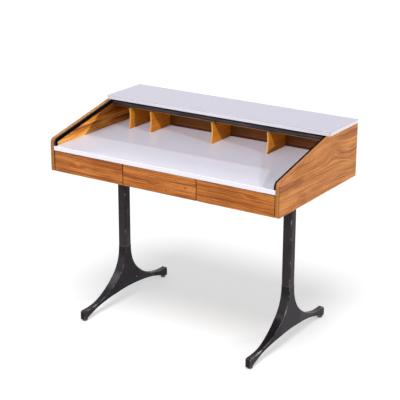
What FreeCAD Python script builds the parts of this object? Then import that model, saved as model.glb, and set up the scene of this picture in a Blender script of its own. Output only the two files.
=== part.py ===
import FreeCAD, Part
import math
import os

# Writing desk with a sliding tambour, three drawers and two cast pedestals.
# Millimetres. +Z is up, the sitter is on the -Y side, and the origin is on the
# floor under the middle of the case.

# ---------------------------------------------------------------- the case
case_width = 1040.0
open_depth = 375.0
case_bottom_height = 631.0
panel_thick = 17.0
panel_edge_bevel = 0.8
panel_foot_round = 2.0
drawer_space = 85.0
opening_height = 112.0
front_corner_rise = 27.5
deck_thick = 16.0
deck_edge_bevel = 1.0
surface_thick = 17.0
surface_edge_bevel = 1.0
back_panel_thick = 9.0
bottom_thick = 12.0
partition_thick = 12.0

# ---------------------------------------------------------------- the tambour's path
front_bend_radius = 20.0
track_inset = 11.0
track_thick = 7.0
track_inner_wall = 1.8
track_end_round = 4.0
groove_width = 6.6
groove_depth = 3.4
groove_foot_wall = 4.0
run_drop = 8.5

# ---------------------------------------------------------------- the lead rail and slats
lead_setback = 2.0
lead_length = 20.0
lead_rise = 6.0
lead_rear_rise = 4.0
lead_drop = 13.0
lead_line_drop = 5.4
lead_line_width = 2.0
lead_line_depth = 2.5
lead_nose_round = 4.0
lead_stop = 14.0
lead_lip_clearance = 6.7
pin_radius = 3.0
pin_setback = 10.0
pin_end_clearance = 0.4
slat_width = 12.0
slat_gap = 0.4
slat_rise = 5.5
slat_shoulder = 1.6
slat_web = 1.5
lip_thick = 2.0
lip_clearance = 0.5
lip_overlap = 0.6
lip_spare = 0.2
slat_end_clearance = 0.35
first_slat_clearance = 1.8
last_slat_clearance = 0.6
curtain_rear_cover = 2.0

# ---------------------------------------------------------------- the pigeonholes
divider_thick = 6.0
left_bay = 98.0
second_bay = 104.0
middle_offset = -4.0
right_bay = 252.0
divider_setback = 6.0
divider_top_setback = 2.0
divider_hollow = 6.5
curtain_room = 18.0
rear_space = 79.0
ceiling_thick = 6.0
ceiling_setback = 34.0
inner_back_thick = 6.0

# ---------------------------------------------------------------- the drawers
drawer_travel = 380.0
front_thick = 18.0
front_gap = 4.0
front_panel_gap = 3.5
front_top_gap = 2.5
front_edge_bevel = 0.8
finger_gap = 22.0
grip_depth = 9.0
grip_height = 12.0
grip_round = 5.0
box_length = 450.0
box_lift = 4.0
box_height = 58.0
box_side_thick = 12.0
box_wall_clearance = 5.0
box_back_thick = 12.0
box_bottom_thick = 5.0
box_bottom_lift = 7.0
box_groove_depth = 5.0
box_groove_clearance = 0.2
runner_height = 8.0
runner_lift = 28.0
runner_length = 440.0
runner_setback = 4.0
runner_bite = 5.0
runner_clearance = 0.3

# ---------------------------------------------------------------- the pedestals
leg_inset = 126.0
leg_setback = 6.0
column_size = 39.0
column_round = 7.0
column_wall = 3.0
seam_height = 241.0
plate_width = 110.0
plate_length = 260.0
plate_thick = 4.0
plate_round = 12.0
foot_half_length = 297.0
foot_tip_width = 24.0
foot_waist_width = 22.0
foot_waist_place = 205.0
foot_throat_place = 75.0
throat_radius = 150.0
throat_start_height = 232.0
throat_turn = 49.0
arm_radius = 302.0
toe_round = 10.0
arch_height = 58.0
sole_length = 20.0
glide_height = 8.0
glide_radius = 11.0
glide_inset = 17.0
glide_stem_radius = 4.0
glide_stem_length = 12.0
glide_stem_clearance = 0.05
glide_bevel = 1.2
spigot_length = 60.0
spigot_clearance = 0.3
arris_bevel = 3.0

# ---------------------------------------------------------------- worked out
half_width = case_width / 2
surface_bottom = case_bottom_height + drawer_space
surface_height = surface_bottom + surface_thick
case_top_height = surface_height + opening_height
inner_half = half_width - panel_thick
slope = math.atan2(opening_height - front_corner_rise, open_depth)
slope_angle = math.degrees(slope)
curtain_cover = (open_depth - lead_stop) / math.cos(slope) - lead_length + curtain_rear_cover
most_closed_pitch = 2 * slat_width + slat_gap - slat_web - lip_overlap - lip_spare
slat_count = math.ceil(curtain_cover / most_closed_pitch)
closed_pitch = curtain_cover / slat_count
store_pitch = slat_width + slat_gap
lead_space = lead_setback + lead_length * math.cos(slope) + first_slat_clearance
store_space = slat_count * store_pitch - slat_gap + last_slat_clearance
deck_depth = lead_space + store_space + back_panel_thick
case_depth = open_depth + deck_depth
front_face = -case_depth / 2
back_face = case_depth / 2
deck_front = back_face - deck_depth
back_panel_front = back_face - back_panel_thick
run_height = case_top_height - run_drop
groove_half = groove_width / 2
track_face = inner_half - track_thick
drop_place = front_face + track_inset
kink_place = (deck_front + track_inset * math.sin(slope)
              + (run_height + track_inset * math.cos(slope) - case_top_height) / math.tan(slope))
ceiling_top = run_height - curtain_room
insert_top = ceiling_top - ceiling_thick
ceiling_front = deck_front + ceiling_setback
insert_back = back_panel_front - rear_space - inner_back_thick
bottom_top = case_bottom_height + bottom_thick
front_back = front_face + front_thick
bottom_front = front_back + finger_gap
partition_place = (case_width - 2 * panel_thick) / 6
divider_places = (-inner_half + left_bay, -inner_half + left_bay + second_bay,
                  middle_offset, inner_half - right_bay)

parts_folder = "parts"
os.makedirs(parts_folder, exist_ok=True)


def export(name, shapes):
    """Write one node, of one solid or of several alike."""
    solids = shapes if isinstance(shapes, list) else [shapes]
    whole = solids[0] if len(solids) == 1 else Part.makeCompound(solids)
    whole.exportStep(os.path.join(parts_folder, name + ".step"))


def on_yz(first, second):
    return FreeCAD.Vector(0, first, second)


def on_xy(first, second):
    return FreeCAD.Vector(first, second, 0)


def outline(corners, plane):
    """Closed wire through corners of (first, second, radius), rounded where the radius isn't 0."""
    count = len(corners)
    joints = []
    for index in range(count):
        before = plane(*corners[index - 1][:2])
        here = plane(*corners[index][:2])
        after = plane(*corners[(index + 1) % count][:2])
        radius = corners[index][2]
        into = (before - here).normalize()
        out = (after - here).normalize()
        if radius == 0:
            joints.append((here, None, here))
            continue
        half_angle = into.getAngle(out) / 2
        reach = radius / math.tan(half_angle)
        middle = here + (into + out).normalize() * (radius / math.sin(half_angle) - radius)
        joints.append((here + into * reach, middle, here + out * reach))
    edges = []
    for index in range(count):
        start, middle, end = joints[index]
        if middle is not None:
            edges.append(Part.Arc(start, middle, end).toShape())
        following = joints[(index + 1) % count][0]
        if (following - end).Length > 1e-6:
            edges.append(Part.LineSegment(end, following).toShape())
    return Part.Wire(edges)


def prism(corners, plane, start, length):
    """Solid of an outline, from start, along the plane's normal."""
    normal = plane(1, 0).cross(plane(0, 1)).normalize()
    face = Part.Face(outline(corners, plane))
    face.translate(normal * start)
    return face.extrude(normal * length)


def block(x_low, x_high, y_low, y_high, z_low, z_high):
    corner = FreeCAD.Vector(x_low, y_low, z_low)
    return Part.makeBox(x_high - x_low, y_high - y_low, z_high - z_low, corner)


def bevel_edges(solid, size, wanted):
    """Bevel the edges whose box passes the test."""
    edges = [edge for edge in solid.Edges if wanted(edge.BoundBox)]
    return solid.makeChamfer(size, edges)


def mirrored(solid):
    return solid.mirror(FreeCAD.Vector(0, 0, 0), FreeCAD.Vector(1, 0, 0))


def slope_line(place, offset):
    """Height of the line that runs beside the tambour's slope, offset outwards."""
    start = kink_place - offset * math.sin(slope)
    return run_height + offset * math.cos(slope) + (place - start) * math.tan(slope)


# ---------------------------------------------------------------- side panels and tracks
def side_panel():
    """Panel with its top following the tambour's path, on the +X side."""
    corners = [
        (front_face, case_bottom_height, panel_foot_round),
        (back_face, case_bottom_height, 0),
        (back_face, case_top_height, 0),
        (deck_front, case_top_height, 0),
        (front_face, slope_line(front_face, track_inset), front_bend_radius),
    ]
    panel = prism(corners, on_yz, inner_half, panel_thick)

    def open_edge(box):
        flat = box.XLength < 1e-6
        under_deck = box.ZMin > case_top_height - 1e-3
        at_back = box.YMin > back_face - 1e-3
        return flat and not under_deck and not at_back

    return bevel_edges(panel, panel_edge_bevel, open_edge)


def tambour_track():
    """Track of the +X side, flush with the panel's edge, with the groove for the rail's pin."""
    bend = front_bend_radius - track_inset
    below = groove_half + track_inner_wall
    corners = [
        (back_panel_front, case_top_height, 0),
        (deck_front, case_top_height, 0),
        (front_face, slope_line(front_face, track_inset), front_bend_radius),
        (front_face, surface_height, track_end_round),
        (drop_place + below, surface_height, track_end_round),
        (drop_place + below, slope_line(drop_place + below, -below), max(bend - below, 1.0)),
        (kink_place + below * math.tan(slope / 2), run_height - below, 0),
        (back_panel_front, run_height - below, 0),
    ]
    strip = prism(corners, on_yz, track_face, track_thick)
    front = drop_place - groove_half
    rear = drop_place + groove_half
    end = back_panel_front + track_thick
    foot = surface_height + groove_foot_wall
    hollow = [
        (end, run_height + groove_half, 0),
        (kink_place - groove_half * math.tan(slope / 2), run_height + groove_half, 0),
        (front, slope_line(front, groove_half), bend + groove_half),
        (front, foot, 0),
        (rear, foot, 0),
        (rear, slope_line(rear, -groove_half), max(bend - groove_half, 1.0)),
        (kink_place + groove_half * math.tan(slope / 2), run_height - groove_half, 0),
        (end, run_height - groove_half, 0),
    ]
    return strip.cut(prism(hollow, on_yz, track_face - 1, groove_depth + 1))


def build_sides():
    panel = side_panel()
    export("right_side_panel", panel)
    export("left_side_panel", mirrored(panel))
    track = tambour_track()
    export("right_tambour_track", track)
    export("left_tambour_track", mirrored(track))


# ---------------------------------------------------------------- boards of the case
def top_deck():
    deck = block(-half_width, half_width, deck_front, back_face,
                 case_top_height, case_top_height + deck_thick)
    return bevel_edges(deck, deck_edge_bevel, lambda box: box.ZMax > case_top_height + 1)


def writing_surface():
    board = block(-inner_half, inner_half, front_face, back_panel_front,
                  surface_bottom, surface_height)
    return bevel_edges(board, surface_edge_bevel,
                       lambda box: box.YMax < front_face + 1e-3 and box.XLength > 1)


def partition_centres():
    return (-partition_place, partition_place)


def build_boards():
    export("top_deck", top_deck())
    bottom = block(-inner_half, inner_half, bottom_front, back_panel_front,
                   case_bottom_height, bottom_top)
    back = block(-inner_half, inner_half, back_panel_front, back_face,
                 case_bottom_height, case_top_height)
    export("writing_surface", writing_surface())
    export("case_bottom", bottom)
    export("outer_back_panel", back)
    for name, centre in zip(("left", "right"), partition_centres()):
        partition = block(centre - partition_thick / 2, centre + partition_thick / 2,
                          bottom_front, back_panel_front, bottom_top, surface_bottom)
        export(name + "_partition", partition)


# ---------------------------------------------------------------- pigeonhole insert
def divider(centre):
    """Upright with a hollow front edge; it carries the insert's ceiling behind a step."""
    foot = FreeCAD.Vector(centre - divider_thick / 2, deck_front - divider_setback, surface_height)
    head = FreeCAD.Vector(foot.x, deck_front - divider_top_setback, ceiling_top)
    middle = (foot + head) / 2 + FreeCAD.Vector(0, divider_hollow, 0)
    step_head = FreeCAD.Vector(foot.x, ceiling_front, ceiling_top)
    step_foot = FreeCAD.Vector(foot.x, ceiling_front, insert_top)
    rear_head = FreeCAD.Vector(foot.x, insert_back, insert_top)
    rear_foot = FreeCAD.Vector(foot.x, insert_back, surface_height)
    edges = [
        Part.Arc(foot, middle, head).toShape(),
        Part.LineSegment(head, step_head).toShape(),
        Part.LineSegment(step_head, step_foot).toShape(),
        Part.LineSegment(step_foot, rear_head).toShape(),
        Part.LineSegment(rear_head, rear_foot).toShape(),
        Part.LineSegment(rear_foot, foot).toShape(),
    ]
    return Part.Face(Part.Wire(edges)).extrude(FreeCAD.Vector(divider_thick, 0, 0))


def build_insert():
    for number, place in enumerate(divider_places, start=1):
        export("divider_%d" % number, divider(place))
    ceiling = block(-inner_half, inner_half, ceiling_front, insert_back,
                    insert_top, ceiling_top)
    export("insert_ceiling", ceiling)
    inner_back = block(-inner_half, inner_half, insert_back, insert_back + inner_back_thick,
                       surface_height, ceiling_top)
    export("inner_back_panel", inner_back)


# ---------------------------------------------------------------- tambour curtain
lead_front = deck_front + lead_setback
lead_rear = lead_front + lead_length * math.cos(slope)
store_start = lead_rear + first_slat_clearance
lead_travel = (lead_front - front_face - lead_stop) / math.cos(slope)
closed_lead_rear = lead_rear - lead_travel * math.cos(slope)
lip_length = closed_pitch - slat_width + lip_overlap
slat_middle = (slat_rise - lip_clearance - lip_thick) / 2
curtain_half = track_face - slat_end_clearance


def slat_outline():
    """Half-round slat over a lip that reaches under the next one: a wire across the path."""
    lip_top = -lip_clearance
    lip_foot = lip_top - lip_thick
    tip = slat_width + lip_length
    points = [
        (0, slat_shoulder), (0, 0), (slat_width - slat_web, 0), (slat_width - slat_web, lip_foot),
        (tip, lip_foot), (tip, lip_top), (slat_width, lip_top), (slat_width, slat_shoulder),
    ]
    vectors = [on_yz(*point) for point in points]
    edges = [Part.LineSegment(vectors[i], vectors[i + 1]).toShape() for i in range(len(vectors) - 1)]
    crown = on_yz(slat_width / 2, slat_rise)
    edges.append(Part.Arc(vectors[-1], crown, vectors[0]).toShape())
    return Part.Wire(edges)


def slat_stored(number):
    """Place of a slat's front foot under the deck, as (y, z)."""
    return (store_start + (number - 1) * store_pitch, run_height - slat_middle)


def slat_closed(number):
    """Place of a slat's front foot on the slope when the tambour is closed, as (y, z)."""
    along = number * closed_pitch - slat_width
    middle = closed_lead_rear + along * math.cos(slope)
    height = run_height + (middle - kink_place) * math.tan(slope)
    return (middle + slat_middle * math.sin(slope), height - slat_middle * math.cos(slope))


def slat_pole(number):
    """Fixed point of a slat's turn from its stored place to its closed place, as (y, z)."""
    stored_y, stored_z = slat_stored(number)
    closed_y, closed_z = slat_closed(number)
    middle_y = (stored_y + closed_y) / 2
    middle_z = (stored_z + closed_z) / 2
    lever = 1 / (2 * math.tan(slope / 2))
    return (middle_y - (closed_z - stored_z) * lever, middle_z + (closed_y - stored_y) * lever)


def lead_rail():
    """Rail before the first slat, with a groove along its front and a lip at its rear."""
    lip_top = -lead_lip_clearance
    line_foot = -lead_line_drop - lead_line_width
    corners = [
        (0, -lead_line_drop, 0),
        (lead_line_depth, -lead_line_drop, 0),
        (lead_line_depth, line_foot, 0),
        (0, line_foot, 0),
        (0, -lead_drop, lead_nose_round),
        (lead_length, -lead_drop, 0),
        (lead_length, lip_top - lip_thick, 0),
        (lead_length + lip_length, lip_top - lip_thick, 0),
        (lead_length + lip_length, lip_top, 0),
        (lead_length, lip_top, 0),
        (lead_length, lead_rear_rise, 1.0),
        (0, lead_rise, lead_nose_round),
    ]
    return prism(corners, on_yz, -curtain_half, 2 * curtain_half)


def lead_pin():
    pin_start = curtain_half
    pin_end = track_face + groove_depth - pin_end_clearance
    return Part.makeCylinder(pin_radius, pin_end - pin_start,
                             FreeCAD.Vector(pin_start, pin_setback, 0), FreeCAD.Vector(1, 0, 0))


def on_slope(solid):
    """Turn a solid drawn along the path on to the slope, at the lead rail's rest place."""
    solid.rotate(FreeCAD.Vector(0, 0, 0), FreeCAD.Vector(1, 0, 0), slope_angle)
    height = run_height + (lead_front - kink_place) * math.tan(slope)
    solid.translate(FreeCAD.Vector(0, lead_front, height))
    return solid


def build_tambour():
    export("lead_rail", on_slope(lead_rail()))
    pin = on_slope(lead_pin())
    export("lead_rail_pins", [mirrored(pin), pin])
    section = Part.Face(slat_outline())
    for number in range(1, slat_count + 1):
        place_y, place_z = slat_stored(number)
        last = number == slat_count
        slat = section.extrude(FreeCAD.Vector(2 * curtain_half, 0, 0))
        if last:
            slat = slat.common(block(0, 2 * curtain_half, 0, slat_width, -lead_drop, slat_rise + 1))
        slat.translate(FreeCAD.Vector(-curtain_half, place_y, place_z))
        export("slat_%02d" % number, slat)


# ---------------------------------------------------------------- drawers
def drawer_bays():
    """Name, clear space between walls, and front, each as low and high x."""
    wall = partition_place - partition_thick / 2
    far_wall = partition_place + partition_thick / 2
    joint = partition_place
    half_gap = front_gap / 2
    outer = inner_half - front_panel_gap
    return [
        ("left_drawer", (-inner_half, -far_wall), (-outer, -joint - half_gap)),
        ("centre_drawer", (-wall, wall), (-joint + half_gap, joint - half_gap)),
        ("right_drawer", (far_wall, inner_half), (joint + half_gap, outer)),
    ]


box_foot = bottom_top + box_lift
box_top = box_foot + box_height
box_rear = front_back + box_length
floor_foot = box_foot + box_bottom_lift
floor_top = floor_foot + box_bottom_thick
runner_foot = box_foot + runner_lift


def drawer_front(low, high):
    """Front board with a scooped grip along the back of its lower edge."""
    front_top = surface_bottom - front_top_gap
    corners = [
        (front_face, case_bottom_height, 0),
        (front_back - grip_depth, case_bottom_height, 0),
        (front_back - grip_depth, case_bottom_height + grip_height, grip_round),
        (front_back, case_bottom_height + grip_height, 0),
        (front_back, front_top, 0),
        (front_face, front_top, 0),
    ]
    board = prism(corners, on_yz, low, high - low)
    return bevel_edges(board, front_edge_bevel, lambda box: box.YMax < front_face + 1e-3)


def drawer_side(outer, inner):
    """Side board, from its outer to its inner face, with grooves for its runner and the bottom."""
    low = min(outer, inner)
    high = max(outer, inner)
    inward = 1 if inner > outer else -1
    board = block(low, high, front_back, box_rear, box_foot, box_top)
    bite = outer + inward * (runner_bite + runner_clearance)
    groove = block(min(outer, bite), max(outer, bite), front_back + runner_setback - runner_clearance,
                   box_rear, runner_foot - runner_clearance,
                   runner_foot + runner_height + runner_clearance)
    seat = inner - inward * box_groove_depth
    slot = block(min(inner, seat), max(inner, seat), front_back, box_rear,
                 floor_foot - box_groove_clearance, floor_top + box_groove_clearance)
    return board.cut(groove).cut(slot)


def build_drawer(name, bay, front):
    low = bay[0] + box_wall_clearance
    high = bay[1] - box_wall_clearance
    inner_low = low + box_side_thick
    inner_high = high - box_side_thick
    floor_low = inner_low - box_groove_depth + box_groove_clearance
    floor_high = inner_high + box_groove_depth - box_groove_clearance
    board = drawer_front(*front)
    slot_front = front_back - box_groove_depth
    slot = block(inner_low - box_groove_depth, inner_high + box_groove_depth, slot_front, front_back,
                 floor_foot - box_groove_clearance, floor_top + box_groove_clearance)
    export(name + "_front", board.cut(slot))
    export(name + "_sides", [drawer_side(low, inner_low), drawer_side(high, inner_high)])
    floor = block(floor_low, floor_high, slot_front + box_groove_clearance, box_rear,
                  floor_foot, floor_top)
    export(name + "_bottom", floor)
    back = block(inner_low, inner_high, box_rear - box_back_thick, box_rear, floor_top, box_top)
    export(name + "_back", back)


def build_drawers():
    runners = []
    for name, bay, front in drawer_bays():
        build_drawer(name, bay, front)
        reach = box_wall_clearance + runner_bite
        start = front_back + runner_setback
        for wall, inward in ((bay[0], 1), (bay[1], -1)):
            tip = wall + inward * reach
            runners.append(block(min(wall, tip), max(wall, tip), start, start + runner_length,
                                 runner_foot, runner_foot + runner_height))
    export("drawer_runners", runners)


# ---------------------------------------------------------------- pedestals
plate_foot = case_bottom_height - plate_thick
leg_place = half_width - leg_inset
arch_half_length = foot_half_length - sole_length


def rounded_square(size, radius, foot, height):
    half = size / 2
    corners = [(-half, -half, radius), (half, -half, radius),
               (half, half, radius), (-half, half, radius)]
    return prism(corners, on_xy, foot, height)


def column():
    """Tube of rounded square section, from the casting's seam to the plate."""
    height = plate_foot - seam_height
    tube = rounded_square(column_size, column_round, seam_height, height)
    bore = rounded_square(column_size - 2 * column_wall, column_round - column_wall,
                          seam_height, height)
    return tube.cut(bore)


def side_profile():
    """Outline of the casting from the side: throats, toes and the arch underneath."""
    half_column = column_size / 2
    turn = math.radians(throat_turn)
    level = math.pi / 2
    centre_y = half_column + throat_radius
    reach_more = arm_radius - throat_radius

    def throat(angle, side):
        y = centre_y - throat_radius * math.cos(angle)
        z = throat_start_height - throat_radius * math.sin(angle)
        return on_yz(side * y, z)

    def arm(angle, side):
        y = centre_y + reach_more * math.cos(turn) - arm_radius * math.cos(angle)
        z = throat_start_height + reach_more * math.sin(turn) - arm_radius * math.sin(angle)
        return on_yz(side * y, z)

    def flank(side):
        """Edges of one flank, from the seam to the toe's foot."""
        seam = on_yz(side * half_column, seam_height)
        start = throat(0, side)
        middle = throat(turn / 2, side)
        joint = throat(turn, side)
        arm_middle = arm((turn + level) / 2, side)
        end = arm(level, side)
        corner = on_yz(side * foot_half_length, end.z)
        along = on_yz(side * toe_round, 0)
        down = on_yz(0, -toe_round)
        bulge = corner + (down - along) * (1 - math.sqrt(0.5))
        toe_start = corner - along
        toe_end = corner + down
        sole = on_yz(side * foot_half_length, glide_height)
        return [
            Part.LineSegment(seam, start).toShape(),
            Part.Arc(start, middle, joint).toShape(),
            Part.Arc(joint, arm_middle, end).toShape(),
            Part.LineSegment(end, toe_start).toShape(),
            Part.Arc(toe_start, bulge, toe_end).toShape(),
            Part.LineSegment(toe_end, sole).toShape(),
            Part.LineSegment(sole, on_yz(side * arch_half_length, glide_height)).toShape(),
        ]

    arch = Part.Arc(on_yz(-arch_half_length, glide_height), on_yz(0, arch_height),
                    on_yz(arch_half_length, glide_height)).toShape()
    top = Part.LineSegment(on_yz(-half_column, seam_height), on_yz(half_column, seam_height)).toShape()
    edges = [top] + flank(1) + [arch] + flank(-1)
    return Part.Wire(Part.__sortEdges__(edges))


def plan_outline():
    """Outline of the casting from above: full at the throats, slim arms, wider toes."""
    tip = foot_tip_width / 2
    waist = foot_waist_width / 2
    throat = column_size / 2
    quarter = [
        (throat, foot_throat_place),
        (waist, foot_waist_place),
        (tip, foot_half_length),
    ]
    right = [(x, -y, 0) for x, y in reversed(quarter)] + [(x, y, 0) for x, y in quarter]
    left = [(-x, -y, 0) for x, y, radius in right]
    return right + left


def casting_body():
    """Casting without its arrises eased, from its side and plan outlines."""
    profile = Part.Face(side_profile())
    profile.translate(FreeCAD.Vector(-column_size, 0, 0))
    body = profile.extrude(FreeCAD.Vector(2 * column_size, 0, 0))
    plan = prism(plan_outline(), on_xy, 0, seam_height)
    return body.common(plan)


def cast_foot():
    """Arched casting with a spigot that stands in the column and a bore for each glide."""

    def arris(box):
        at_seam = box.ZMin > seam_height - 1e-3
        at_sole = box.ZMax < glide_height + 1e-3
        across = box.XLength > foot_tip_width / 2
        return not (at_seam or at_sole or across)

    body = bevel_edges(casting_body(), arris_bevel, arris)
    spigot_size = column_size - 2 * column_wall - 2 * spigot_clearance
    spigot_round = column_round - column_wall - spigot_clearance
    body = body.fuse(rounded_square(spigot_size, spigot_round, seam_height, spigot_length))
    for place in glide_places():
        bore = Part.makeCylinder(glide_stem_radius + glide_stem_clearance, glide_stem_length + 1,
                                 FreeCAD.Vector(0, place, glide_height))
        body = body.cut(bore)
    return body


def glide_places():
    reach = foot_half_length - glide_inset
    return (-reach, reach)


def glide(place):
    """Round pad on a stem, under a toe."""
    pad = Part.makeCylinder(glide_radius, glide_height, FreeCAD.Vector(0, place, 0))
    pad = bevel_edges(pad, glide_bevel, lambda box: box.XLength > 1 and box.ZLength < 1e-3)
    stem = Part.makeCylinder(glide_stem_radius, glide_stem_length,
                             FreeCAD.Vector(0, place, glide_height))
    return pad.fuse(stem)


def plate(side):
    """Screwed plate that carries the case on a column."""
    half_x = plate_width / 2
    half_y = plate_length / 2
    corners = [(-half_x, -half_y, plate_round), (half_x, -half_y, plate_round),
               (half_x, half_y, plate_round), (-half_x, half_y, plate_round)]
    solid = prism(corners, on_xy, plate_foot, plate_thick)
    solid.translate(FreeCAD.Vector(side * leg_place, leg_setback, 0))
    return solid


def build_pedestals():
    glides = []
    for name, side in (("left", -1), ("right", 1)):
        place = FreeCAD.Vector(side * leg_place, leg_setback, 0)
        export(name + "_mounting_plate", plate(side))
        tube = column()
        tube.translate(place)
        export(name + "_leg_column", tube)
        foot = cast_foot()
        foot.translate(place)
        export(name + "_cast_foot", foot)
        for along in glide_places():
            pad = glide(along)
            pad.translate(place)
            glides.append(pad)
    export("foot_glides", glides)


build_sides()
build_boards()
build_insert()
build_tambour()
build_drawers()
build_pedestals()
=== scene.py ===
"""Finishes, small fixings and studio of a tambour writing desk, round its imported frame."""

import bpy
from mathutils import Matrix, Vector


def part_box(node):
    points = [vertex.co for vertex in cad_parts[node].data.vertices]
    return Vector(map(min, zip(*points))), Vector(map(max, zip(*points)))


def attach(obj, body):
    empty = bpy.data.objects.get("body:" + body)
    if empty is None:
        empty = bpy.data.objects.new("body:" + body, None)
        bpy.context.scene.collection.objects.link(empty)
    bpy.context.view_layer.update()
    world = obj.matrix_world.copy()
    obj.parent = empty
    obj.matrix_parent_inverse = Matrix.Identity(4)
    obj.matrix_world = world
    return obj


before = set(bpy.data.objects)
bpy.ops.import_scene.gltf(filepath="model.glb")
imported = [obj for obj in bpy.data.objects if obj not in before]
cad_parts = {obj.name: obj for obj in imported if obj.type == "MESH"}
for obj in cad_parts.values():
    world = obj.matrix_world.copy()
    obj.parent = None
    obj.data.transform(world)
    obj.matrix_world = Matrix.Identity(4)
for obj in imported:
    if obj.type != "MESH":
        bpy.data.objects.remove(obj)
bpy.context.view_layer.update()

import logging
import math
from collections.abc import Sequence
from dataclasses import dataclass, field
from enum import IntEnum
from functools import cached_property
from typing import Any

import bmesh
import bpy
from mathutils import Matrix, Vector

Colour = tuple[float, float, float]
Point = tuple[float, float, float]

LOG = logging.getLogger("desk")
# Places read from the frame are rounded to a thousandth of a millimetre.
PLACE_DIGITS = 6
# A thin line fades over this share of its half width, on both sides of its border.
LINE_FADE = 0.4
# The rays that see the white floor and surroundings.
SHOWN_RAYS = ("Is Camera Ray", "Is Glossy Ray", "Is Transmission Ray")
BLACK: Colour = (0.0, 0.0, 0.0)
WHITE: Colour = (1.0, 1.0, 1.0)
# Materials made so far, by the names of their finishes.
MADE: dict[str, bpy.types.Material] = {}


class Axis(IntEnum):
    """Axes of the frame, as places in a coordinate."""

    X = 0
    Y = 1
    Z = 2


def low(node: str, axis: Axis) -> float:
    """Give a node's lowest place on an axis."""
    return round(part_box(node)[0][axis], PLACE_DIGITS)


def high(node: str, axis: Axis) -> float:
    """Give a node's highest place on an axis."""
    return round(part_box(node)[1][axis], PLACE_DIGITS)


def family(stem: str) -> list[str]:
    """Give the names of the nodes that start with a stem, in order."""
    return sorted(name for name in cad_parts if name.startswith(stem))


def both(name: str) -> tuple[str, str]:
    """Give a name for the left and for the right."""
    return f"left_{name}", f"right_{name}"


class Term:
    """One number socket of a shader tree, on which Python's operators add Math nodes."""

    def __init__(self, tree: "Tree", socket: bpy.types.NodeSocket) -> None:
        """Keep the tree and the socket."""
        self.tree = tree
        self.socket = socket

    def __add__(self, other: "Term | float") -> "Term":
        """Sum."""
        return self.tree.maths("ADD", self, other)

    def __radd__(self, other: "Term | float") -> "Term":
        """Sum, from the right."""
        return self.tree.maths("ADD", other, self)

    def __sub__(self, other: "Term | float") -> "Term":
        """Difference."""
        return self.tree.maths("SUBTRACT", self, other)

    def __rsub__(self, other: "Term | float") -> "Term":
        """Difference, from the right."""
        return self.tree.maths("SUBTRACT", other, self)

    def __mul__(self, other: "Term | float") -> "Term":
        """Product."""
        return self.tree.maths("MULTIPLY", self, other)

    def __rmul__(self, other: "Term | float") -> "Term":
        """Product, from the right."""
        return self.tree.maths("MULTIPLY", other, self)

    def __truediv__(self, other: "Term | float") -> "Term":
        """Quotient."""
        return self.tree.maths("DIVIDE", self, other)

    def __abs__(self) -> "Term":
        """Size without sign."""
        return self.tree.maths("ABSOLUTE", self)


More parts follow.
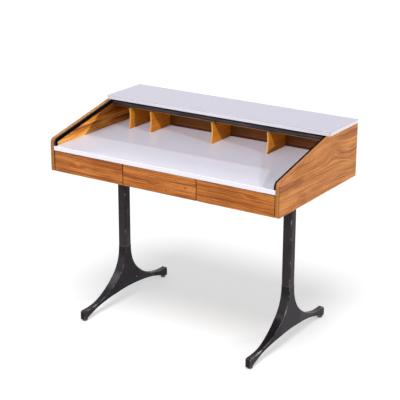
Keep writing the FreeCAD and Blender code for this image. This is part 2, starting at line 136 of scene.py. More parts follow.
class Tree:
    """The nodes of a material or world, with short ways to add the kinds in use."""

    def __init__(self, owner: bpy.types.Material | bpy.types.World) -> None:
        """Empty the nodes.

        Args:
            owner: The material or world to fill.
        """
        owner.use_nodes = True
        self.nodes = owner.node_tree.nodes
        self.links = owner.node_tree.links
        self.nodes.clear()

    @cached_property
    def place(self) -> tuple[Term, Term, Term]:
        """Read the place on the piece, in metres."""
        return self.split(self.node("ShaderNodeTexCoord").outputs["Object"])

    @cached_property
    def facing(self) -> tuple[Term, Term, Term]:
        """Read the way that the surface faces."""
        return self.split(self.node("ShaderNodeTexCoord").outputs["Normal"])

    def node(self, kind: str, settings: dict[str, Any] | None = None,
             sockets: dict[int | str, Any] | None = None) -> bpy.types.Node:
        """Add a node, set it and feed it.

        Args:
            kind: The node's type.
            settings: Its own settings; "stops" are a colour ramp's (place, colour) pairs.
            sockets: Values, terms or sockets by input name or number.

        Returns:
            The node.
        """
        made = self.nodes.new(kind)
        for name, value in (settings or {}).items():
            if name == "stops":
                self.set_stops(made.color_ramp, value)
            else:
                setattr(made, name, value)
        for key, value in (sockets or {}).items():
            self.feed(made.inputs[key], value)
        return made

    @staticmethod
    def set_stops(ramp: bpy.types.ColorRamp, stops: Sequence[tuple[float, Colour]]) -> None:
        """Give a ramp its stops.

        Args:
            ramp: The ramp, with Blender's two first stops.
            stops: Places from 0 to 1, each with its colour.
        """
        while len(ramp.elements) < len(stops):
            ramp.elements.new(1.0)
        for element, (place, colour) in zip(ramp.elements, stops):
            element.position = place
            element.color = (*colour, 1.0)

    def feed(self, socket: bpy.types.NodeSocket, value: Any) -> None:
        """Link or set one input.

        Args:
            socket: The input.
            value: A term, a socket, a number, a colour or a vector.
        """
        if isinstance(value, Term):
            value = value.socket
        if isinstance(value, bpy.types.NodeSocket):
            self.links.new(value, socket)
        elif socket.type == "RGBA" and len(value) == 3:
            socket.default_value = (*value, 1.0)
        else:
            socket.default_value = value

    def maths(self, operation: str, *values: "Term | float") -> Term:
        """Add a Math node.

        Args:
            operation: The node's operation.
            values: Its inputs in order.

        Returns:
            Its result.
        """
        made = self.node("ShaderNodeMath", {"operation": operation}, dict(enumerate(values)))
        return Term(self, made.outputs[0])

    def split(self, vector: bpy.types.NodeSocket) -> tuple[Term, Term, Term]:
        """Part a vector into its three numbers."""
        made = self.node("ShaderNodeSeparateXYZ", sockets={0: vector})
        return tuple(Term(self, output) for output in made.outputs)

    def join(self, x: Any, y: Any, z: Any) -> bpy.types.NodeSocket:
        """Make a vector of three numbers."""
        return self.node("ShaderNodeCombineXYZ", sockets={0: x, 1: y, 2: z}).outputs[0]

    def noise(self, where: Sequence[Any], detail: float = 2.0, rough: float = 0.5) -> Term:
        """Add a noise that reads its own coordinates.

        Args:
            where: Three terms or numbers, already scaled.
            detail: Octaves.
            rough: Weight of the finer octaves.

        Returns:
            The noise, from 0 to 1 round 0.5.
        """
        made = self.node("ShaderNodeTexNoise", {"noise_dimensions": "3D"},
                         {"Vector": self.join(*where), "Scale": 1.0,
                          "Detail": detail, "Roughness": rough})
        return Term(self, made.outputs[0])

    def mottle(self, x: float, y: float, z: float, detail: float = 2.0,
               rough: float = 0.5) -> Term:
        """Add a noise over the piece, drawn out by its own amount on each axis.

        Args:
            x: Cells in a metre from side to side.
            y: Cells in a metre from front to back.
            z: Cells in a metre upwards.
            detail: Octaves.
            rough: Weight of the finer octaves.

        Returns:
            The noise, from 0 to 1 round 0.5.
        """
        where = [term * cells for term, cells in zip(self.place, (x, y, z))]
        return self.noise(where, detail, rough)

    def step(self, value: "Term | float", low_end: float, high_end: float) -> Term:
        """Go smoothly from 0 at one value to 1 at another.

        Args:
            value: What is read.
            low_end: Where the result is 0.
            high_end: Where the result is 1; it may be the smaller one.

        Returns:
            The smooth step.
        """
        if low_end > high_end:
            return 1.0 - self.step(value, high_end, low_end)
        made = self.node("ShaderNodeMapRange", {"interpolation_type": "SMOOTHSTEP"},
                         {"Value": value, "From Min": low_end, "From Max": high_end})
        return Term(self, made.outputs[0])

    def line(self, value: "Term | float", middle: float, half: float) -> Term:
        """Mark a thin line.

        Args:
            value: What is read.
            middle: Where the line is.
            half: Half of its width.

        Returns:
            A mask that is 1 on the line.
        """
        return self.step(abs(value - middle), half * (1.0 + LINE_FADE), half * (1.0 - LINE_FADE))

    def seen(self) -> Term:
        """Mark the rays that see the white floor and surroundings.

        Returns:
            1 for such a ray, and 0 for one that carries light.
        """
        path = self.node("ShaderNodeLightPath")
        camera, gloss, glass = (Term(self, path.outputs[name]) for name in SHOWN_RAYS)
        return self.maths("MAXIMUM", self.maths("MAXIMUM", camera, gloss), glass)

    def mix(self, share: "Term | float", first: Any, second: Any) -> bpy.types.NodeSocket:
        """Mix two colours.

        Args:
            share: How much of the second.
            first: Colour or socket.
            second: Colour or socket.

        Returns:
            The mixed colour.
        """
        # Inputs 6 and 7 and output 2 are the Mix node's colour sockets.
        made = self.node("ShaderNodeMix", {"data_type": "RGBA"}, {0: share, 6: first, 7: second})
        return made.outputs[2]

    def ramp(self, value: Term, stops: Sequence[tuple[float, Colour]]) -> bpy.types.NodeSocket:
        """Read a colour off a ramp.

        Args:
            value: Place on the ramp.
            stops: Places and colours.

        Returns:
            The colour.
        """
        return self.node("ShaderNodeValToRGB", {"stops": stops}, {0: value}).outputs[0]

    def bump(self, height: Term, strength: float, distance: float) -> bpy.types.NodeSocket:
        """Make a normal from a height.

        Args:
            height: Height, from 0 to 1.
            strength: Share of the bump that shows.
            distance: Height in metres at 1.

        Returns:
            The normal.
        """
        return self.node("ShaderNodeBump", sockets={
            "Strength": strength, "Distance": distance, "Height": height}).outputs[0]

    def surface(self, **sockets: Any) -> None:
        """Close the tree with the shader.

        Args:
            sockets: Inputs by name, with underscores for blanks.
        """
        named = {name.replace("_", " "): value for name, value in sockets.items()}
        shader = self.node("ShaderNodeBsdfPrincipled", sockets=named)
        self.node("ShaderNodeOutputMaterial", sockets={0: shader.outputs[0]})


@dataclass(frozen=True)
class Finish:
    """One finish of the desk."""

    name: str

    def paint(self, tree: Tree) -> None:
        """Fill a material's tree."""
        raise NotImplementedError

    def material(self) -> bpy.types.Material:
        """Make the finish's material at its first use.

        Returns:
            The material.
        """
        if self.name not in MADE:
            MADE[self.name] = bpy.data.materials.new(f"{self.name}_look")
            self.paint(Tree(MADE[self.name]))
        return MADE[self.name]


@dataclass(frozen=True)
class Tones:
    """Colours of a veneer, from its pale wood to its dark lines."""

    light: Colour
    middle: Colour
    dark: Colour


TAN = Tones((0.64, 0.275, 0.074), (0.50, 0.175, 0.036), (0.23, 0.064, 0.012))
# Painted light and shade for a panel's inner face: brighter pale wood and middle, darker lines.
PAINTED_LIGHT_TAN = Tones((0.80, 0.400, 0.080), (0.66, 0.200, 0.016), (0.20, 0.044, 0.003))
DEEP_TAN = Tones((0.65, 0.245, 0.056), (0.47, 0.140, 0.024), (0.20, 0.046, 0.006))


@dataclass(frozen=True)
class Timber:
    """Colours of a plain board: light and dark of its faces, and its edges."""

    light: Colour
    dark: Colour
    edge: Colour


CARCASE_PLY = Timber((0.52, 0.36, 0.20), (0.38, 0.24, 0.12), (0.55, 0.38, 0.22))
DRAWER_PLY = Timber((0.60, 0.44, 0.27), (0.47, 0.31, 0.17), (0.62, 0.47, 0.30))
RUNNER_WOOD = Timber((0.46, 0.28, 0.14), (0.34, 0.19, 0.09), (0.42, 0.25, 0.12))
BIRCH = Timber((0.62, 0.232, 0.018), (0.44, 0.138, 0.008), (0.70, 0.37, 0.11))
# Painted shade: a darker copy of BIRCH for the back deep inside the pigeonholes.
SHADED_BIRCH = Timber((0.15, 0.047, 0.005), (0.085, 0.024, 0.003), BIRCH.dark)


@dataclass(frozen=True)
class Knot:
    """A small knot that the growth lines bend round."""

    along: float
    across: float
    size: float
    push: float
    stretch: float = 1.8


@dataclass(frozen=True)
class Lipping:
    """Lipping on a panel's edges: two strips, a pale glue line and a dark outer skin.

    Its places are depths from the panel's inner face.
    """

    inner_face: float
    light: Colour = (0.50, 0.200, 0.048)
    dark: Colour = (0.34, 0.112, 0.020)
    strip: float = 0.0108
    strip_fade: float = 0.0012
    glue: float = 0.0106
    glue_half: float = 0.0004
    glue_colour: Colour = (0.80, 0.48, 0.24)
    skin: float = 0.0160
    skin_half: float = 0.0006
    skin_colour: Colour = (0.16, 0.045, 0.012)

    def paint(self, tree: Tree) -> tuple[bpy.types.NodeSocket, Term]:
        """Add the lipping's nodes.

        Args:
            tree: The material's tree.

        Returns:
            The colour, and a mask that is 1 on the panel's edges.
        """
        x, y, z = tree.place
        depth = abs(x) - self.inner_face
        grain = tree.noise((depth * 900.0, y * 14.0, z * 14.0), detail=3.0)
        tone = tree.mix(grain, self.dark, self.light)
        outer = tree.step(depth, self.strip, self.strip + self.strip_fade)
        colour = tree.mix(outer, tone, tree.mix(0.35, tone, self.dark))
        glue = tree.line(depth, self.glue, self.glue_half)
        colour = tree.mix(glue * 0.45, colour, self.glue_colour)
        skin = tree.line(depth, self.skin, self.skin_half)
        colour = tree.mix(skin * 0.75, colour, self.skin_colour)
        return colour, tree.step(abs(tree.facing[Axis.X]), 0.75, 0.55)


@dataclass(frozen=True)
class Veneer(Finish):
    """Figured veneer whose growth lines are cuts through leaning cones.

    A side panel's veneer has lipping on its edges, and may have painted light and shade on its
    inner face, as tones brighter in its pale wood and darker in its lines.
    """

    tones: Tones
    grain: Axis
    across: Axis
    pith: float
    pith_depth: float
    lean: float = 0.0
    sway: float = 0.03
    band: float = 230.0
    streak: float = 62.0
    streak_share: float = 0.75
    streak_from: float = 0.52
    streak_fade: float = 0.16
    fleck_share: float = 0.60
    stops: tuple[float, float, float] = (0.41, 0.50, 0.62)
    seed: float = 0.0
    knots: tuple[Knot, ...] = ()
    gloss: float = 0.36
    lipping: Lipping | None = None
    painted_inner_tones: Tones | None = None
    inside_depth: float = 0.003
    inside_fade: float = 0.001

    def rings(self, tree: Tree) -> Term:
        """Measure the distance from the pith, swayed and bent round the knots.

        Args:
            tree: The material's tree.

        Returns:
            The distance in metres.
        """
        along = tree.place[self.grain]
        across = tree.place[self.across]
        sway = tree.noise((along * 2.2, across * 6.0, self.seed), detail=3.0, rough=0.55) - 0.5
        drift = tree.noise((along * 4.5, across * 16.0, self.seed + 9.0)) - 0.5
        side = across - self.pith + sway * self.sway
        deep = along * self.lean + self.pith_depth + drift * (0.35 * self.sway)
        radius = tree.maths("SQRT", side * side + deep * deep)
        for knot in self.knots:
            off_along = (along - knot.along) / (knot.stretch * knot.size)
            off_across = (across - knot.across) / knot.size
            spread = off_along * off_along + off_across * off_across
            radius = radius + tree.maths("EXPONENT", spread * -1.0) * knot.push
        return radius

    def figure(self, tree: Tree, tone: Term, tones: Tones) -> bpy.types.NodeSocket:
        """Colour the growth lines.

        Args:
            tree: The material's tree.
            tone: How dark the wood is.
            tones: The colours.

        Returns:
            The colour.
        """
        colours = (tones.light, tones.middle, tones.dark)
        return tree.ramp(tone, tuple(zip(self.stops, colours)))

    def paint(self, tree: Tree) -> None:
        """Fill a material's tree.

        Args:
            tree: The material's tree.
        """
        along = tree.place[self.grain]
        across = tree.place[self.across]
        other = tree.place[sum(Axis) - self.grain - self.across]
        radius = self.rings(tree)
        bands = tree.noise((radius * self.band, along * 1.4, self.seed), detail=3.0, rough=0.62)
        fine = tree.noise((radius * self.band * 3.1, along * 14.0, self.seed + 3.0))
        streaks = tree.noise((radius * self.streak, along * 2.2, self.seed + 5.0),
                             detail=2.5, rough=0.55)
        flecks = tree.noise((along * 75.0, radius * self.band * 2.2, self.seed + 7.0))
        cloud = tree.noise((along * 5.0, across * 14.0, self.seed + 11.0))
        fibre = tree.noise((along * 60.0, across * 1500.0, other * 1500.0))
        pores = tree.noise((along * 90.0, across * 1100.0, other * 1100.0), detail=1.0)
        pores = tree.step(pores, 0.60, 0.70)
        tone = bands * 0.6 + fine * 0.4 + (cloud - 0.5) * 0.3
        colour = self.figure(tree, tone, self.tones)
        deepest: bpy.types.NodeSocket | Colour = self.tones.dark
        # Painted light and shade: the inner face takes its own brighter and darker tones.
        if self.painted_inner_tones is not None:
            depth = abs(tree.place[Axis.X]) - self.lipping.inner_face
            inward = tree.step(depth, self.inside_depth + self.inside_fade, self.inside_depth)
            colour = tree.mix(inward, colour, self.figure(tree, tone, self.painted_inner_tones))
            deepest = tree.mix(inward, self.tones.dark, self.painted_inner_tones.dark)
        streak = tree.step(streaks, self.streak_from, self.streak_from + self.streak_fade)
        colour = tree.mix(streak * self.streak_share, colour, deepest)
        colour = tree.mix(tree.step(flecks, 0.56, 0.70) * self.fleck_share, colour, deepest)
        colour = tree.mix(pores * 0.30 + (fibre - 0.5) * 0.20, colour, deepest)
        lacquer: Term | float = 0.0
        if self.lipping is not None:
            edges, shown = self.lipping.paint(tree)
            colour = tree.mix(shown, colour, edges)
            lacquer = shown * 0.12
        tree.surface(Base_Color=colour, Roughness=fibre * 0.14 + self.gloss,
                     Specular_IOR_Level=0.16, Coat_Weight=lacquer, Coat_Roughness=0.08,
                     Normal=tree.bump(fibre - pores * 0.6, strength=0.25, distance=0.0003))


@dataclass(frozen=True)
class Board(Finish):
    """Plain board with straight grain and paler, layered edges.

    One that stands in a corner has painted shade, a dark band just above its foot, and a pale rim
    above that.
    """

    timber: Timber
    grain: Axis
    edge: Axis
    cells_along: float = 7.0
    cells_across: float = 120.0
    fibre_finer: float = 9.0
    layer: float = 0.0012
    gloss: float = 0.42
    foot: float | None = None
    shade_height: float = 0.010
    shade_fade: float = 0.002
    shade_colour: Colour = (0.05, 0.012, 0.003)
    rim_height: float = 0.013
    rim_half: float = 0.0012

    def paint(self, tree: Tree) -> None:
        """Fill a material's tree.

        Args:
            tree: The material's tree.
        """
        where = [term * (self.cells_along if axis == self.grain else self.cells_across)
                 for axis, term in enumerate(tree.place)]
        grain = tree.noise(where, detail=4.0, rough=0.6)
        fibre = tree.noise([term * self.fibre_finer for term in where], detail=1.0)
        colour = tree.mix(tree.step(grain * 0.8 + fibre * 0.2, 0.30, 0.70),
                          self.timber.light, self.timber.dark)
        if self.foot is not None:
            # Painted shade: a dark band along the board's foot.
            height = tree.place[Axis.Z] - self.foot
            shade = tree.step(height, self.shade_height + self.shade_fade, self.shade_height)
            colour = tree.mix(shade * 0.6, colour, self.shade_colour)
            rim = tree.line(height, self.rim_height, self.rim_half)
            colour = tree.mix(rim * 0.3, colour, self.timber.edge)
        layers = tree.maths("PINGPONG", tree.place[self.edge] / self.layer, 1.0)
        ends = tree.mix(tree.step(layers, 0.25, 0.75) * 0.35, self.timber.edge, self.timber.dark)
        shown = tree.step(abs(tree.facing[self.edge]), 0.7, 0.5)
        tree.surface(Base_Color=tree.mix(shown, colour, ends),
                     Roughness=fibre * 0.16 + self.gloss, Specular_IOR_Level=0.14,
                     Normal=tree.bump(grain * 0.4 + fibre * 0.6, strength=0.2, distance=0.0002))


@dataclass(frozen=True)
class Laminate(Finish):
    """Glossy white laminate with bright edges and fine seams at its arrises."""

    top: float
    half: float
    front: float
    colour: Colour
    edge_colour: Colour
    dust_colour: Colour = (0.50, 0.49, 0.54)
    seam_colour: Colour = (0.30, 0.24, 0.27)
    seam_drop: float = 0.0012
    seam_half: float = 0.0014
    corner_inset: float = 0.0006
    corner_half: float = 0.0011
    corner_reach: float = 0.002
    corner_fade: float = 0.002

    def paint(self, tree: Tree) -> None:
        """Fill a material's tree.

        Args:
            tree: The material's tree.
        """
        x, y, z = tree.place
        cloud = tree.mottle(3.0, 3.0, 3.0)
        dust = tree.step(tree.mottle(420.0, 420.0, 420.0, detail=1.0), 0.70, 0.78)
        scuff = tree.mottle(26.0, 9.0, 26.0, detail=4.0, rough=0.65)
        peel = tree.mottle(160.0, 160.0, 160.0, detail=1.0)
        face = tree.mix((cloud - 0.5) * 0.12 + dust * 0.10, self.colour, self.dust_colour)
        shown = tree.step(abs(tree.facing[Axis.Z]), 0.6, 0.4)
        seam = tree.line(z, self.top - self.seam_drop, self.seam_half)
        corner = tree.line(abs(x), self.half - self.corner_inset, self.corner_half)
        reach = self.front + self.corner_reach
        corner = corner * tree.step(y, reach + self.corner_fade, reach)
        seams = tree.maths("MAXIMUM", seam * 0.7, corner * 0.7) * shown
        colour = tree.mix(seams, tree.mix(shown, face, self.edge_colour), self.seam_colour)
        tree.surface(Base_Color=colour, Roughness=scuff * 0.10 + 0.13, Specular_IOR_Level=0.35,
                     Normal=tree.bump(peel, strength=0.03, distance=0.0002))


@dataclass(frozen=True)
class Enamel(Finish):
    """Black enamel on metal, worn through along its arrises.

    The arrises of an upright piece are found round it, and those of a foot across it.
    """

    face: Colour = (0.042, 0.036, 0.038)
    # Painted shade colour: it darkens an upright piece's front-left and rear-right corners, and a
    # foot's underside.
    corner: Colour = (0.003, 0.003, 0.003)
    cloud: Colour = (0.024, 0.020, 0.022)
    bare: Colour = (0.30, 0.265, 0.245)
    smear_colour: Colour = (0.10, 0.095, 0.12)
    chip_colour: Colour = (0.62, 0.60, 0.60)
    upright: bool = False
    seam: float | None = None
    seam_half: float = 0.0010
    seam_colour: Colour = (0.16, 0.13, 0.12)
    wear: float = 0.5
    varnish: float = 0.0

    def paint(self, tree: Tree) -> None:
        """Fill a material's tree.

        Args:
            tree: The material's tree.
        """
        across = tree.facing[Axis.X]
        if self.upright:
            twist = across * tree.facing[Axis.Y] * 2.0
            arris = abs(twist)
            # Painted shade on the corners an upright piece shows at its sides, the front-left and
            # rear-right ones.
            painted_shade_mask = tree.step(twist, 0.15, 0.75)
        else:
            arris = abs(across) * tree.maths(
                "SQRT", tree.maths("MAXIMUM", 1.0 - across * across, 0.0)) * 2.0
            # Painted shade on a foot's underside.
            painted_shade_mask = tree.step(tree.facing[Axis.Z], -0.1, -0.6)
        rub = tree.mottle(60.0, 38.0, 38.0, detail=4.0, rough=0.65)
        chips = tree.mottle(210.0, 120.0, 90.0, detail=3.0, rough=0.6)
        smear = tree.mottle(90.0, 75.0, 75.0, detail=4.0, rough=0.7)
        haze = tree.mottle(12.0, 12.0, 7.0, detail=3.0, rough=0.6)
        pits = tree.mottle(380.0, 380.0, 380.0)
        worn = tree.step(arris, 0.55, 0.95) * tree.step(rub, 0.60 - 0.30 * self.wear, 0.66)
        spots = tree.step(chips, 0.725, 0.75)
        colour = tree.mix(tree.step(haze, 0.35, 0.70) * 0.6, self.face, self.cloud)
        colour = tree.mix(tree.step(smear, 0.56, 0.74) * self.wear * 0.25, colour,
                          self.smear_colour)
        # Painted shade in the corner colour.
        colour = tree.mix(painted_shade_mask, colour, self.corner)
        colour = tree.mix(worn * 0.65, colour, self.bare)
        colour = tree.mix(spots * 0.7, colour, self.chip_colour)
        if self.seam is not None:
            seam = tree.line(tree.place[Axis.Z], self.seam, self.seam_half)
            colour = tree.mix(seam * 0.5, colour, self.seam_colour)
        tree.surface(Base_Color=colour, Roughness=haze * 0.20 + worn * 0.1 + 0.24,
                     Metallic=worn * 0.4, Specular_IOR_Level=0.05,
                     Coat_Weight=(smear * 0.4 + 0.8) * self.varnish, Coat_Roughness=0.26,
                     Normal=tree.bump(pits, strength=0.12, distance=0.0003))


@dataclass(frozen=True)
class Moulded(Finish):
    """Moulded plastic with a fine grain, rubbed patches and painted highlights as pale lines
    along some arrises.
    """

    colour: Colour
    rubbed: Colour
    gloss: float
    sheen: float = 0.4
    highlight_places: tuple[float, ...] = ()
    highlight_half: float = 0.0009
    highlight_colour: Colour = (0.15, 0.12, 0.12)

    def paint(self, tree: Tree) -> None:
        """Fill a material's tree.

        Args:
            tree: The material's tree.
        """
        grain = tree.mottle(700.0, 700.0, 700.0)
        rub = tree.mottle(30.0, 18.0, 30.0, detail=3.0, rough=0.6)
        colour = tree.mix(tree.step(rub, 0.50, 0.80) * 0.6, self.colour, self.rubbed)
        above = tree.step(abs(tree.facing[Axis.X]), 0.6, 0.4)
        # Painted highlights: pale lines along the given arrises, on faces that do not face
        # sideways.
        for arris in self.highlight_places:
            line = tree.line(tree.place[Axis.X], arris, self.highlight_half) * above
            colour = tree.mix(line * (rub * 0.6 + 0.40), colour, self.highlight_colour)
        tree.surface(Base_Color=colour, Roughness=rub * 0.16 + self.gloss,
                     Specular_IOR_Level=self.sheen,
                     Normal=tree.bump(grain, strength=0.10, distance=0.0002))


@dataclass(frozen=True)
class StainedSlat(Finish):
    """Dark stained hardwood of the tambour, with fine straight grain; a piece may have painted
    shade above a height.
    """

    colour: Colour = (0.026, 0.019, 0.023)
    pale: Colour = (0.082, 0.062, 0.070)
    shade_from: float | None = None
    shade_fade: float = 0.0015
    shade_colour: Colour = (0.006, 0.005, 0.008)

    def paint(self, tree: Tree) -> None:
        """Fill a material's tree.

        Args:
            tree: The material's tree.
        """
        grain = tree.mottle(5.0, 260.0, 260.0, detail=4.0, rough=0.6)
        long = tree.mottle(9.0, 60.0, 60.0, detail=3.0, rough=0.6)
        colour = tree.mix(tree.step(grain * 0.5 + long * 0.5, 0.36, 0.68), self.colour, self.pale)
        # Painted shade on the part above the given height.
        if self.shade_from is not None:
            shade = tree.step(tree.place[Axis.Z], self.shade_from,
                              self.shade_from + self.shade_fade)
            colour = tree.mix(shade * 0.9, colour, self.shade_colour)
        tree.surface(Base_Color=colour, Roughness=grain * 0.15 + 0.36, Specular_IOR_Level=0.10,
                     Normal=tree.bump(grain, strength=0.25, distance=0.0003))


@dataclass(frozen=True)
class Steel(Finish):
    """Bright turned steel."""

    dull: Colour = (0.30, 0.29, 0.28)
    bright: Colour = (0.52, 0.51, 0.49)

    def paint(self, tree: Tree) -> None:
        """Fill a material's tree.

        Args:
            tree: The material's tree.
        """
        brush = tree.mottle(900.0, 900.0, 120.0)
        tree.surface(Base_Color=tree.mix(brush, self.dull, self.bright),
                     Roughness=brush * 0.2 + 0.28, Metallic=1.0,
                     Normal=tree.bump(brush, strength=0.08, distance=0.0001))


def dress(finish: Finish, *nodes: str) -> None:
    """Give CAD nodes a finish.

    Args:
        finish: The finish.
        nodes: Names of the nodes.
    """
    for name in nodes:
        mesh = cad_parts[name].data
        mesh.materials.clear()
        mesh.materials.append(finish.material())
        LOG.info("%s: %s", name, finish.name)


@dataclass
class CaseShell:
    """Side panels, tracks, white boards, back, bottom and partitions."""

    half_width: float = high("right_side_panel", Axis.X)
    inner_half: float = low("right_side_panel", Axis.X)
    surface_top: float = high("writing_surface", Axis.Z)
    surface_front: float = low("writing_surface", Axis.Y)
    surface_face: Colour = (0.688, 0.675, 0.762)
    surface_edge: Colour = (0.375, 0.365, 0.385)
    deck_top: float = high("top_deck", Axis.Z)
    deck_front: float = low("top_deck", Axis.Y)
    # Painted shade: the deck's top gets a darker white than its own edges and the writing
    # surface, for the lower light on it.
    shaded_deck_face: Colour = (0.51, 0.495, 0.590)
    deck_edge: Colour = (0.68, 0.67, 0.72)
    track_face: float = high("left_tambour_track", Axis.X)
    # Insets of the painted highlights along the left track's arrises.
    track_highlight_insets: tuple[float, ...] = (0.0016, 0.0050)

    def right_veneer(self) -> Veneer:
        """Give the right panel's veneer.

        Returns:
            The veneer, with two knots on the slope.
        """
        return Veneer("veneer_right_panel", TAN, grain=Axis.Y, across=Axis.Z,
                      pith=0.905, pith_depth=0.020, lean=-0.020, sway=0.034, seed=2.0,
                      knots=(Knot(0.110, 0.785, 0.042, 0.030), Knot(0.260, 0.700, 0.040, -0.022)),
                      lipping=Lipping(self.inner_half))

    def left_veneer(self) -> Veneer:
        """Give the left panel's veneer.

        Returns:
            The veneer, with stronger streaks, and painted light and shade on its inner face as
            brighter and darker tones.
        """
        return Veneer("veneer_left_panel", TAN, grain=Axis.Y, across=Axis.Z,
                      pith=0.700, pith_depth=0.034, lean=-0.03, sway=0.020, seed=6.0,
                      streak=85.0, streak_share=0.95, streak_from=0.47,
                      lipping=Lipping(self.inner_half), painted_inner_tones=PAINTED_LIGHT_TAN)

    def dress(self) -> None:
        """Dress the shell's nodes."""
        dress(self.right_veneer(), "right_side_panel")
        dress(self.left_veneer(), "left_side_panel")
        highlight_lines = tuple(self.track_face - inset for inset in self.track_highlight_insets)
        dress(Moulded("track_plastic", colour=(0.004, 0.003, 0.004), rubbed=(0.010, 0.007, 0.008),
                      gloss=0.30, sheen=0.0, highlight_places=highlight_lines),
              *both("tambour_track"))
        dress(Laminate("laminate_surface", top=self.surface_top, half=self.inner_half,
                       front=self.surface_front, colour=self.surface_face,
                       edge_colour=self.surface_edge),
              "writing_surface")
        dress(Laminate("laminate_deck", top=self.deck_top, half=self.half_width,
                       front=self.deck_front, colour=self.shaded_deck_face,
                       edge_colour=self.deck_edge),
              "top_deck")
        dress(Veneer("veneer_back", TAN, grain=Axis.X, across=Axis.Z, pith=0.74,
                     pith_depth=0.09, lean=0.11, seed=14.0),
              "outer_back_panel")
        dress(Board("ply_carcase", CARCASE_PLY, grain=Axis.X, edge=Axis.Z), "case_bottom")
        dress(Board("ply_partition", CARCASE_PLY, grain=Axis.Y, edge=Axis.X), *both("partition"))


@dataclass
class Pigeonholes:
    """Uprights, ceiling and back of the pigeonholes."""

    timber: Timber = BIRCH
    # The back takes the darker birch, as painted shade.
    back_timber: Timber = SHADED_BIRCH
    back_foot: float = low("inner_back_panel", Axis.Z)

    def dress(self) -> None:
        """Dress the pigeonholes' nodes."""
        dress(Board("birch_divider", self.timber, grain=Axis.Y, edge=Axis.X),
              *family("divider_"))
        dress(Board("birch_ceiling", self.timber, grain=Axis.X, edge=Axis.Z), "insert_ceiling")
        dress(Board("birch_back", self.back_timber, grain=Axis.X, edge=Axis.Y,
                    foot=self.back_foot),
              "inner_back_panel")


@dataclass
class TambourCurtain:
    """Lead rail, its pins and the slats."""

    rail_top: float = high("lead_rail", Axis.Z)
    # Painted shade covers the lead rail's top, this far down from its highest point.
    shade_drop: float = 0.0059

    def dress(self) -> None:
        """Dress the curtain's nodes."""
        dress(StainedSlat("tambour_wood"), *family("slat_"))
        dress(StainedSlat("rail_wood", shade_from=self.rail_top - self.shade_drop), "lead_rail")
        dress(Steel("steel_pin"), "lead_rail_pins")


@dataclass
class Drawers:
    """Three drawers and their runners."""

    names: tuple[str, ...] = ("left_drawer", "centre_drawer", "right_drawer")
    knots: tuple[tuple[Knot, ...], ...] = (
        (Knot(-0.385, 0.676, 0.010, 0.012), Knot(-0.335, 0.664, 0.008, -0.010)),
        (Knot(-0.030, 0.664, 0.009, 0.012), Knot(0.035, 0.655, 0.010, -0.011),
         Knot(0.120, 0.668, 0.006, 0.008)),
        (Knot(0.360, 0.690, 0.009, -0.009),),
    )
    first_seed: float = 21.0
    seed_step: float = 4.0

    def front(self, index: int) -> Veneer:
        """Give a drawer front's veneer.

        Args:
            index: The drawer's place from the left, from 0.

        Returns:
            The veneer, with the drawer's own figure and knots.
        """
        return Veneer(f"veneer_{self.names[index]}", DEEP_TAN, grain=Axis.X, across=Axis.Z,
                      pith=0.560, pith_depth=0.045, lean=0.02, sway=0.016, band=300.0,
                      streak=95.0, seed=self.first_seed + self.seed_step * index,
                      knots=self.knots[index])

    def dress(self) -> None:
        """Dress the drawers' nodes."""
        sides = Board("ply_drawer_side", DRAWER_PLY, grain=Axis.Y, edge=Axis.X)
        floor = Board("ply_drawer_floor", DRAWER_PLY, grain=Axis.X, edge=Axis.Z)
        back = Board("ply_drawer_back", DRAWER_PLY, grain=Axis.X, edge=Axis.Y)
        for index, name in enumerate(self.names):
            dress(self.front(index), f"{name}_front")
            dress(sides, f"{name}_sides")
            dress(floor, f"{name}_bottom")
            dress(back, f"{name}_back")
        dress(Board("runner_wood", RUNNER_WOOD, grain=Axis.Y, edge=Axis.X), "drawer_runners")


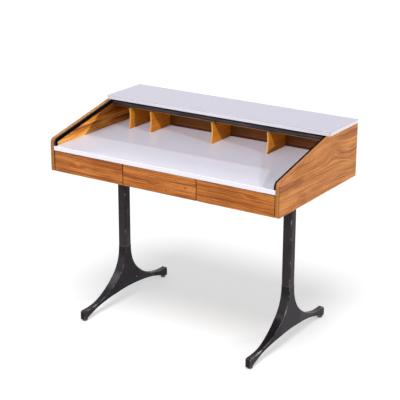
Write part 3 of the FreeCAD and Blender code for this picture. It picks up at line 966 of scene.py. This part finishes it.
@dataclass
class Pedestals:
    """Mounting plates with their screws, columns, castings and glides.

    The screw heads' rim, wall and taper are shares of their radius, and the socket's depth is a
    share of their height.
    """

    seam: float = low("left_leg_column", Axis.Z)
    screw_inset: float = 0.018
    head_radius: float = 0.0055
    head_height: float = 0.0026
    head_sides: int = 24
    head_taper: float = 0.8
    head_rim: float = 0.34
    socket_wall: float = 0.04
    socket_depth: float = 0.5

    def dress(self) -> None:
        """Dress the pedestals' nodes."""
        dress(Enamel("black_tube", upright=True, seam=self.seam, wear=0.2), *both("leg_column"))
        dress(Enamel("black_casting", face=(0.011, 0.008, 0.012), cloud=(0.006, 0.004, 0.007),
                     bare=(0.15, 0.13, 0.13), seam=self.seam, wear=0.8, varnish=0.17),
              *both("cast_foot"))
        dress(Enamel("plate_steel", wear=0.2), *both("mounting_plate"))
        dress(Moulded("glide_plastic", colour=(0.16, 0.075, 0.035), rubbed=(0.30, 0.17, 0.10),
                      gloss=0.35),
              "foot_glides")

    def head(self, mesh: bmesh.types.BMesh, x: float, y: float, plate_foot: float) -> None:
        """Add one screw head, hollow in its middle, under a plate.

        Args:
            mesh: The mesh it joins.
            x: Its place across.
            y: Its place from front to back.
            plate_foot: Height of the plate's underside.
        """
        place = Matrix.Translation((x, y, plate_foot - self.head_height / 2))
        made = bmesh.ops.create_cone(
            mesh, cap_ends=True, segments=self.head_sides,
            radius1=self.head_radius * self.head_taper, radius2=self.head_radius,
            depth=self.head_height, matrix=place)
        faces = {face for vert in made["verts"] for face in vert.link_faces}
        cap = min(faces, key=lambda face: face.calc_center_median().z)
        bmesh.ops.inset_region(mesh, faces=[cap], thickness=self.head_radius * self.head_rim)
        bmesh.ops.inset_region(mesh, faces=[cap], thickness=self.head_radius * self.socket_wall,
                               depth=-self.head_height * self.socket_depth)

    def build(self) -> None:
        """Build the plates' screws as one piece."""
        mesh = bmesh.new()
        inset = self.screw_inset
        for plate in both("mounting_plate"):
            for x in (low(plate, Axis.X) + inset, high(plate, Axis.X) - inset):
                for y in (low(plate, Axis.Y) + inset, high(plate, Axis.Y) - inset):
                    self.head(mesh, x, y, low(plate, Axis.Z))
        bmesh.ops.recalc_face_normals(mesh, faces=mesh.faces)
        data = bpy.data.meshes.new("plate_screws")
        mesh.to_mesh(data)
        mesh.free()
        data.materials.append(Steel("screw_steel").material())
        piece = bpy.data.objects.new("plate_screws", data)
        bpy.context.scene.collection.objects.link(piece)
        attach(piece, "case")
        LOG.info("plate_screws: built")


@dataclass(frozen=True)
class Lamp:
    """A far lamp with parallel light, for all but the spared pieces or for some alone."""

    name: str
    towards: Point
    level: float
    spread: float
    colour: Colour = WHITE
    alone: tuple[str, ...] = ()
    spared: tuple[str, ...] = ("floor",)

    def build(self, floor: bpy.types.Object) -> None:
        """Make the lamp.

        Args:
            floor: The floor, which a lamp may light alone or spare.
        """
        data = bpy.data.lights.new(self.name, "SUN")
        # A sun of strength pi lights a surface that faces it at its own colour.
        data.energy = self.level * math.pi
        data.angle = math.radians(self.spread)
        data.color = self.colour
        lamp = bpy.data.objects.new(self.name, data)
        lamp.rotation_euler = Vector(self.towards).to_track_quat("Z", "Y").to_euler()
        bpy.context.scene.collection.objects.link(lamp)
        linked = bpy.data.collections.new(f"{self.name}_receivers")
        for name in self.alone or self.spared:
            linked.objects.link(floor if name == "floor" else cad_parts[name])
        if not self.alone:
            for entry in linked.collection_objects:
                entry.light_linking.link_state = "EXCLUDE"
        lamp.light_linking.receiver_collection = linked


# The key lamps stand high up behind the desk, to its right.
KEY_SIDE: Point = (1.25, 1.375, 1.0)


@dataclass
class Studio:
    """White floor and surroundings, soft lamps and the camera."""

    place: Point = (2.5347, -3.9061, 2.1109)
    yaw: float = 33.104
    pitch: float = -18.892
    roll: float = 0.182
    lens: float = 111.175
    floor_half: float = 40.0
    floor_colour: Colour = (0.80, 0.80, 0.80)
    floor_glow: Colour = (0.462, 0.470, 0.478)
    dome_level: float = 0.27
    dome_colour: Colour = (0.97, 0.98, 1.0)
    lamps: tuple[Lamp, ...] = (
        Lamp("key_behind", KEY_SIDE, level=0.46, spread=2.5, colour=(1.0, 0.98, 0.96),
             spared=("floor", "left_side_panel")),
        Lamp("key_right", (3.7, -1.0, 1.35), level=0.50, spread=2.5, colour=(1.0, 0.98, 0.95),
             spared=("floor", "left_side_panel")),
        Lamp("left_behind", KEY_SIDE, level=1.62, spread=2.5, colour=(0.90, 1.0, 1.0),
             alone=("left_side_panel",)),
        Lamp("fill_front", (-0.30, -0.94, 0.20), level=0.52, spread=60.0),
        Lamp("fill_top", (-0.52, -0.30, 0.80), level=0.50, spread=30.0,
             colour=(0.95, 0.97, 1.0), spared=("floor", "writing_surface")),
        Lamp("surface_fill", (0.0, -0.96, 0.27), level=1.62, spread=16.0,
             colour=(0.96, 0.97, 1.0), alone=("writing_surface",)),
        Lamp("floor_wash", (0.20, -0.47, 1.0), level=0.50, spread=26.0, alone=("floor",)),
        Lamp("floor_key", KEY_SIDE, level=0.13, spread=11.0, alone=("floor",)),
    )

    def floor(self) -> bpy.types.Object:
        """Make the floor.

        Returns:
            The floor.
        """
        mesh = bmesh.new()
        bmesh.ops.create_grid(mesh, x_segments=1, y_segments=1, size=self.floor_half)
        data = bpy.data.meshes.new("floor")
        mesh.to_mesh(data)
        mesh.free()
        material = bpy.data.materials.new("floor_paper")
        tree = Tree(material)
        tree.surface(Base_Color=self.floor_colour, Roughness=0.9, Specular_IOR_Level=0.0,
                     Emission_Color=tree.mix(tree.seen(), BLACK, self.floor_glow),
                     Emission_Strength=1.0)
        data.materials.append(material)
        floor = bpy.data.objects.new("floor", data)
        bpy.context.scene.collection.objects.link(floor)
        return floor

    def surroundings(self) -> None:
        """Make the world white to the eye and in reflections, and a soft dome as light."""
        world = bpy.data.worlds.new("studio")
        tree = Tree(world)
        dome = tree.node("ShaderNodeBackground", sockets={
            "Color": self.dome_colour, "Strength": self.dome_level})
        white = tree.node("ShaderNodeBackground", sockets={"Color": WHITE})
        shown = tree.node("ShaderNodeMixShader", sockets={
            0: tree.seen(), 1: dome.outputs[0], 2: white.outputs[0]})
        tree.node("ShaderNodeOutputWorld", sockets={0: shown.outputs[0]})
        bpy.context.scene.world = world

    def camera(self) -> None:
        """Make the camera."""
        data = bpy.data.cameras.new("camera")
        data.lens = self.lens
        camera = bpy.data.objects.new("camera", data)
        turn = (Matrix.Rotation(math.radians(self.yaw), 4, "Z")
                @ Matrix.Rotation(math.radians(90.0 + self.pitch), 4, "X")
                @ Matrix.Rotation(math.radians(self.roll), 4, "Z"))
        camera.matrix_world = Matrix.Translation(self.place) @ turn
        bpy.context.scene.collection.objects.link(camera)
        bpy.context.scene.camera = camera

    def build(self) -> None:
        """Build the studio."""
        floor = self.floor()
        for lamp in self.lamps:
            lamp.build(floor)
        self.surroundings()
        self.camera()
        bpy.context.scene.view_settings.view_transform = "Standard"
        LOG.info("studio: built")


@dataclass
class Desk:
    """The whole desk."""

    shell: CaseShell = field(default_factory=CaseShell)
    pigeonholes: Pigeonholes = field(default_factory=Pigeonholes)
    curtain: TambourCurtain = field(default_factory=TambourCurtain)
    drawers: Drawers = field(default_factory=Drawers)
    pedestals: Pedestals = field(default_factory=Pedestals)

    def build(self) -> None:
        """Dress every node and build the small fixings."""
        self.shell.dress()
        self.pigeonholes.dress()
        self.curtain.dress()
        self.drawers.dress()
        self.pedestals.dress()
        self.pedestals.build()


def main() -> None:
    """Build the studio and the desk."""
    logging.basicConfig(level=logging.INFO, format="%(name)s %(message)s")
    Studio().build()
    Desk().build()


if __name__ == "__main__":
    main()
